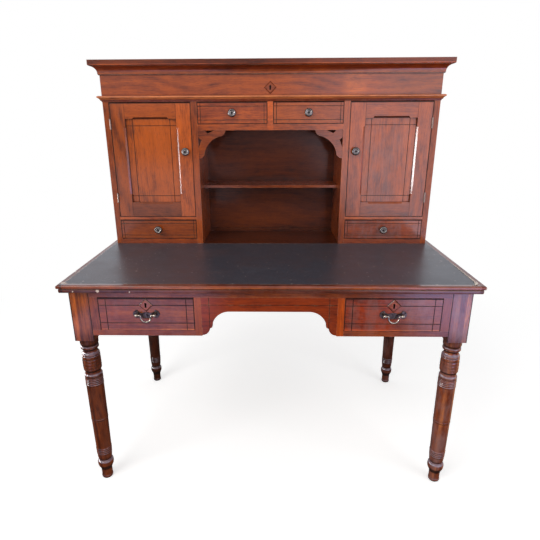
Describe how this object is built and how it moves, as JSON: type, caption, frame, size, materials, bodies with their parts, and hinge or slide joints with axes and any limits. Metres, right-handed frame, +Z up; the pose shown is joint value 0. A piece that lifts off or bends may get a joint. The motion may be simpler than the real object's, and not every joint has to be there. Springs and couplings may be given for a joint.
{
  "type": "clerks desk",
  "caption": "Tall desk on turned legs: leather writing top, frieze drawers beside a shaped kneehole, and a hutch with cupboards, an open bay, small drawers and a lift-up top.",
  "frame": {"origin": "on the floor under the middle of the desk's overall footprint", "axes": "+Z up, the front faces -Y, +X to the right when facing the front"},
  "size_m": [1.309, 0.755, 1.445],
  "materials": {
    "leg_wood": "gloss",
    "apron_wood": "gloss",
    "rail_wood": "gloss",
    "post_wood": "gloss",
    "top_wood": "gloss",
    "edge_wood": "gloss",
    "carcass_wood": "gloss",
    "bay_wood": "gloss",
    "shelf_wood": "gloss",
    "bracket_wood": "gloss",
    "frieze_wood": "gloss",
    "moulding_wood": "gloss",
    "diamond_wood": "gloss",
    "door_wood": "gloss",
    "panel_wood": "gloss",
    "table_drawer_wood": "gloss",
    "small_drawer_wood": "gloss",
    "inner_wood": "satin",
    "leather": "satin",
    "knob_metal": "polished and dark",
    "handle_brass": "aged",
    "hinge_steel": "worn",
    "pin_steel": "worn"
  },
  "bodies": {
    "desk": {"aprons": "apron_wood", "compartment_floor": "inner_wood", "compartment_lock": "diamond_wood", "cupboard_floors": "rail_wood", "door_hinge_seats": "hinge_steel", "drawer_runners": "inner_wood", "fretted_brackets": "bracket_wood", "frieze_boards": "frieze_wood", "front_posts_and_stiles": "post_wood", "front_rails": "rail_wood", "hutch_back": "bay_wood", "hutch_partitions": "carcass_wood", "hutch_sides": "carcass_wood", "kneehole_apron": "rail_wood", "leg_front_left": "leg_wood", "leg_front_right": "leg_wood", "leg_rear_left": "leg_wood", "leg_rear_right": "leg_wood", "lid_hinge_seats": "hinge_steel", "open_shelf": "bay_wood", "shelf_pins": "pin_steel", "small_drawer_shelf": "shelf_wood", "table_top": "top_wood", "top_edge_moulding": "edge_wood", "waist_moulding": "moulding_wood", "writing_leather": "leather"},
    "lid": {"cornice_moulding": "moulding_wood", "lid_board": "top_wood", "lid_hinges": "hinge_steel", "lid_rails": "inner_wood"},
    "door_left": {"door_left_frame": "door_wood", "door_left_hinges": "hinge_steel", "door_left_panel": "panel_wood"},
    "door_knob_left": {"door_left_knob": "knob_metal"},
    "door_right": {"door_right_frame": "door_wood", "door_right_hinges": "hinge_steel", "door_right_panel": "panel_wood"},
    "door_knob_right": {"door_right_knob": "knob_metal"},
    "lower_drawer_left": {"lower_drawer_left_box": "inner_wood", "lower_drawer_left_front": "small_drawer_wood", "lower_drawer_left_knob": "knob_metal"},
    "lower_drawer_right": {"lower_drawer_right_box": "inner_wood", "lower_drawer_right_front": "small_drawer_wood", "lower_drawer_right_knob": "knob_metal"},
    "bail_left": {"table_drawer_left_bail": "handle_brass"},
    "table_drawer_left": {"table_drawer_left_box": "inner_wood", "table_drawer_left_front": "table_drawer_wood", "table_drawer_left_handle": "handle_brass", "table_drawer_left_lock": "diamond_wood"},
    "bail_right": {"table_drawer_right_bail": "handle_brass"},
    "table_drawer_right": {"table_drawer_right_box": "inner_wood", "table_drawer_right_front": "table_drawer_wood", "table_drawer_right_handle": "handle_brass", "table_drawer_right_lock": "diamond_wood"},
    "upper_drawer_left": {"upper_drawer_left_box": "inner_wood", "upper_drawer_left_front": "small_drawer_wood", "upper_drawer_left_knob": "knob_metal"},
    "upper_drawer_right": {"upper_drawer_right_box": "inner_wood", "upper_drawer_right_front": "small_drawer_wood", "upper_drawer_right_knob": "knob_metal"}
  },
  "joints": [
    {"name": "table_drawer_left_slide", "type": "slide", "parent": "desk", "child": "table_drawer_left", "axis": [0, -1, 0], "range_m": [0, 0.38]},
    {"name": "bail_left_swing", "type": "hinge", "parent": "table_drawer_left", "child": "bail_left", "pos_m": [-0.3865, -0.3635, 0.658], "axis": [-1, 0, 0], "range_deg": [0, 85]},
    {"name": "door_left_swing", "type": "hinge", "parent": "desk", "child": "door_left", "pos_m": [-0.60225, 0.1213, 1.0865], "axis": [0, 0, -1], "range_deg": [0, 110]},
    {"name": "door_knob_left_turn", "type": "hinge", "parent": "door_left", "child": "door_knob_left", "pos_m": [-0.3225, 0.1245, 1.12496], "axis": [0, -1, 0], "range_deg": [0, 90]},
    {"name": "lower_drawer_left_slide", "type": "slide", "parent": "desk", "child": "lower_drawer_left", "axis": [0, -1, 0], "range_m": [0, 0.14]},
    {"name": "upper_drawer_left_slide", "type": "slide", "parent": "desk", "child": "upper_drawer_left", "axis": [0, -1, 0], "range_m": [0, 0.14]},
    {"name": "table_drawer_right_slide", "type": "slide", "parent": "desk", "child": "table_drawer_right", "axis": [0, -1, 0], "range_m": [0, 0.38]},
    {"name": "bail_right_swing", "type": "hinge", "parent": "table_drawer_right", "child": "bail_right", "pos_m": [0.3865, -0.3635, 0.658], "axis": [-1, 0, 0], "range_deg": [0, 85]},
    {"name": "door_right_swing", "type": "hinge", "parent": "desk", "child": "door_right", "pos_m": [0.60225, 0.1213, 1.0865], "axis": [0, 0, 1], "range_deg": [0, 110]},
    {"name": "door_knob_right_turn", "type": "hinge", "parent": "door_right", "child": "door_knob_right", "pos_m": [0.3225, 0.1245, 1.12496], "axis": [0, 1, 0], "range_deg": [0, 90]},
    {"name": "lower_drawer_right_slide", "type": "slide", "parent": "desk", "child": "lower_drawer_right", "axis": [0, -1, 0], "range_m": [0, 0.14]},
    {"name": "upper_drawer_right_slide", "type": "slide", "parent": "desk", "child": "upper_drawer_right", "axis": [0, -1, 0], "range_m": [0, 0.14]},
    {"name": "lid_swing", "type": "hinge", "parent": "desk", "child": "lid", "pos_m": [0, 0.3727, 1.39615], "axis": [-1, 0, 0], "range_deg": [0, 95]}
  ]
}
